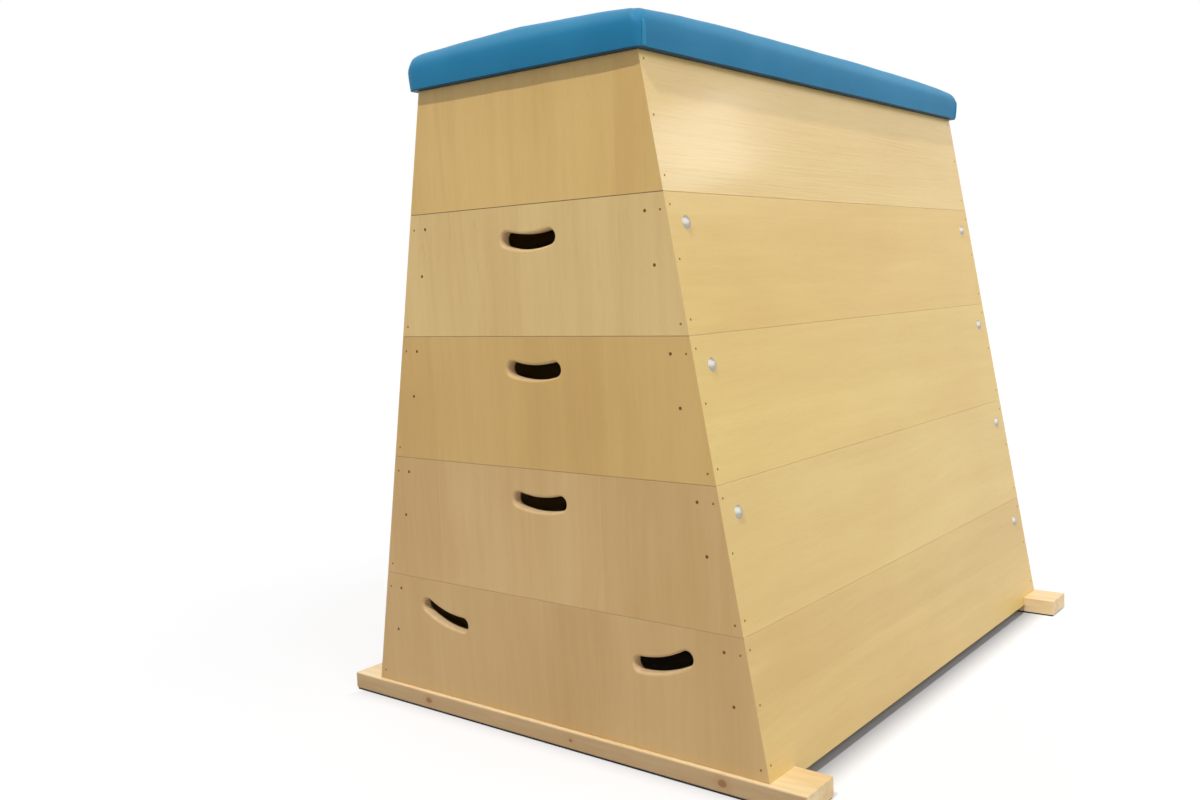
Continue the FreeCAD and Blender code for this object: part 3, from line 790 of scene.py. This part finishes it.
def corner_fold(pad, vinyl, side, end):
    """The lapped fold beside an upright corner, on the long side: a narrow flap of vinyl."""
    deselect_all()
    bpy.ops.mesh.primitive_grid_add(x_subdivisions=4, y_subdivisions=12, size=1.0)
    flap = bpy.context.active_object
    flap.name = f"corner_fold_{'left' if side < 0 else 'right'}_{'front' if end < 0 else 'rear'}"
    shares = places_of(flap.data) + 0.5
    across, up = shares[:, 0], shares[:, 1]
    width = FOLD_WIDTH * (1.0 - FOLD_TAPER * smooth_step(up, 0.6, 1.0))
    places = np.empty_like(shares)
    places[:, 0] = side * (COVER_HIGH.x + SWELL_LIMIT)
    places[:, 1] = end * (COVER_HIGH.y - FOLD_FROM_CORNER - across * width)
    places[:, 2] = COVER_LOW.z + FOLD_LOW + up * (FOLD_HIGH - FOLD_LOW)
    set_places(flap.data, places)
    apply_modifier(flap, "SHRINKWRAP", {"target": pad, "wrap_mode": "ABOVE_SURFACE",
                                        "offset": FOLD_LIFT / 2})
    apply_modifier(flap, "SOLIDIFY", {"thickness": FOLD_LIFT * 1.5, "offset": 0.0})
    apply_modifier(flap, "SUBSURF", {"levels": 1, "render_levels": 1})
    make_only(flap)
    bpy.ops.object.mode_set(mode="EDIT")
    bpy.ops.mesh.select_all(action="SELECT")
    bpy.ops.mesh.normals_make_consistent(inside=False)
    bpy.ops.object.mode_set(mode="OBJECT")
    upholster(flap, vinyl)


def padded_top():
    """The pad with a fold at each of its four upright corners."""
    pad = vinyl_pad(blue_vinyl("blue_vinyl_finish", PAD_TONES))
    # The folds' vinyl is lighter: a painted highlight.
    fold_highlight_vinyl = blue_vinyl("stretched_vinyl_finish", FOLD_HIGHLIGHT_TONES)
    for side in SIDES:
        for end in ENDS:
            corner_fold(pad, fold_highlight_vinyl, side, end)


# ---- Camera, floor and light ----

CAMERA_PLACE = (1.0390, -1.6683, 0.6479)
CAMERA_AZIMUTH = math.radians(-38.463)
CAMERA_PITCH = math.radians(5.907)
CAMERA_ROLL = math.radians(-2.269)
LENS = 34.03
SENSOR = 36.0


def camera():
    """Looks down a little across the near corner, tilted slightly."""
    forwards = Vector((math.sin(CAMERA_AZIMUTH) * math.cos(CAMERA_PITCH),
                       math.cos(CAMERA_AZIMUTH) * math.cos(CAMERA_PITCH),
                       -math.sin(CAMERA_PITCH)))
    level = Vector((math.cos(CAMERA_AZIMUTH), -math.sin(CAMERA_AZIMUTH), 0.0))
    upright = level.cross(forwards)
    across = level * math.cos(CAMERA_ROLL) + upright * math.sin(CAMERA_ROLL)
    upwards = upright * math.cos(CAMERA_ROLL) - level * math.sin(CAMERA_ROLL)
    data = bpy.data.cameras.new("camera")
    data.lens = LENS
    data.sensor_width = SENSOR
    made = bpy.data.objects.new("camera", data)
    bpy.context.scene.collection.objects.link(made)
    turn = Matrix((across, upwards, -forwards)).transposed()
    made.matrix_world = Matrix.Translation(CAMERA_PLACE) @ turn.to_4x4()
    bpy.context.scene.camera = made


BLACK = (0.0, 0.0, 0.0, 1.0)
WHITE = (1.0, 1.0, 1.0, 1.0)
FLOOR_SIZE = 60.0
FLOOR_TONE = (0.45, 0.45, 0.46, 1.0)
FLOOR_GLOW = 0.50             # lifts the floor to white for the viewer only
# The glow's ramps past the foot paint a soft contact shadow on the floor.
GLOW_SIDE = (-5.0 * MM, 50.0 * MM)       # from the foot of a side, where the glow starts and is full
GLOW_END = (-60.0 * MM, 45.0 * MM)       # and from the foot of an end
AMBIENT = 0.27
SHEEN_PLACE = (1.645, 2.09, 1.705)
SHEEN_AIM = (0.22, -0.405, 0.82)
SHEEN_WIDTH = 0.42
SHEEN_HEIGHT = 0.32
SHEEN_POWER = 3.0


def seen_directly(nodes):
    """1 for what the viewer, a mirror or glass shows, 0 for light on other things."""
    camera_ray = nodes.node("LightPath", {}, {}, "Is Camera Ray")
    rays = camera_ray.socket.node.outputs
    others = Signal(nodes, rays["Is Glossy Ray"]) + Signal(nodes, rays["Is Transmission Ray"])
    return nodes.maths("MINIMUM", camera_ray + others, 1.0)


def glow_outside_painted_shadow(finish):
    """0 on the floor under the object, so that its inside stays dark, rising to 1 a few centimetres
    beyond its foot: this ramp paints a soft contact shadow on the floor round it.
    """
    across = finish.maths("ABSOLUTE", finish.along(finish.place(), X_AXIS))
    along = finish.maths("ABSOLUTE", finish.along(finish.place(), Y_AXIS))
    beyond_side = finish.between(across - FOOT_HIGH.x, *GLOW_SIDE)
    beyond_end = finish.between(along - BODY_HALF_LENGTH, *GLOW_END)
    return finish.maths("MAXIMUM", beyond_side, beyond_end)


def floor():
    """Pale floor that runs out to white and keeps the object's shadow, with a painted contact shadow
    where its glow fades near the object's foot.
    """
    deselect_all()
    bpy.ops.mesh.primitive_plane_add(size=FLOOR_SIZE)
    made = bpy.context.active_object
    made.name = "floor"
    finish = Finish("floor_paint")
    glow = finish.mix(seen_directly(finish) * glow_outside_painted_shadow(finish), BLACK, WHITE)
    finish.surface(Base_Color=FLOOR_TONE, Roughness=0.9, Emission_Color=glow,
                   Emission_Strength=FLOOR_GLOW)
    made.data.materials.append(finish.material)


def world():
    """Even white surroundings, brighter to the viewer than as a light."""
    made = bpy.data.worlds.new("surroundings")
    bpy.context.scene.world = made
    made.use_nodes = True
    sky = Nodes(made.node_tree, "Background")
    as_light = (AMBIENT, AMBIENT, AMBIENT, 1.0)
    sky.feed(Color=sky.mix(seen_directly(sky), as_light, WHITE))


def sun(name, azimuth, elevation, strength, softness):
    """A lamp with no falloff. Its azimuth is measured from +X towards +Y."""
    data = bpy.data.lights.new(name, "SUN")
    data.energy = strength
    data.angle = math.radians(softness)
    made = bpy.data.objects.new(name, data)
    bpy.context.scene.collection.objects.link(made)
    turn, rise = math.radians(azimuth), math.radians(elevation)
    source = Vector((math.cos(turn) * math.cos(rise), math.sin(turn) * math.cos(rise),
                     math.sin(rise)))
    made.matrix_world = source.to_track_quat("Z", "Y").to_matrix().to_4x4()


def sheen_lamp():
    """Soft lamp behind the right side, which glances off the varnish of the top section."""
    data = bpy.data.lights.new("sheen_lamp", "AREA")
    data.shape = "RECTANGLE"
    data.size = SHEEN_WIDTH
    data.size_y = SHEEN_HEIGHT
    data.energy = SHEEN_POWER
    made = bpy.data.objects.new("sheen_lamp", data)
    bpy.context.scene.collection.objects.link(made)
    turn = (Vector(SHEEN_PLACE) - Vector(SHEEN_AIM)).to_track_quat("Z", "Y").to_matrix().to_4x4()
    made.matrix_world = Matrix.Translation(SHEEN_PLACE) @ turn


def studio():
    """Camera, floor, surroundings and lamps."""
    bpy.context.scene.view_settings.view_transform = "Standard"
    camera()
    floor()
    world()
    sun("ceiling_lamp", azimuth=-84.0, elevation=61.0, strength=2.05, softness=1.8)
    sun("window", azimuth=5.0, elevation=25.0, strength=1.32, softness=75.0)
    sun("far_window", azimuth=155.0, elevation=25.0, strength=0.45, softness=75.0)
    sheen_lamp()


# ---- The object ----

studio()
plywood_panels()
wooden_parts()
fittings()
padded_top()
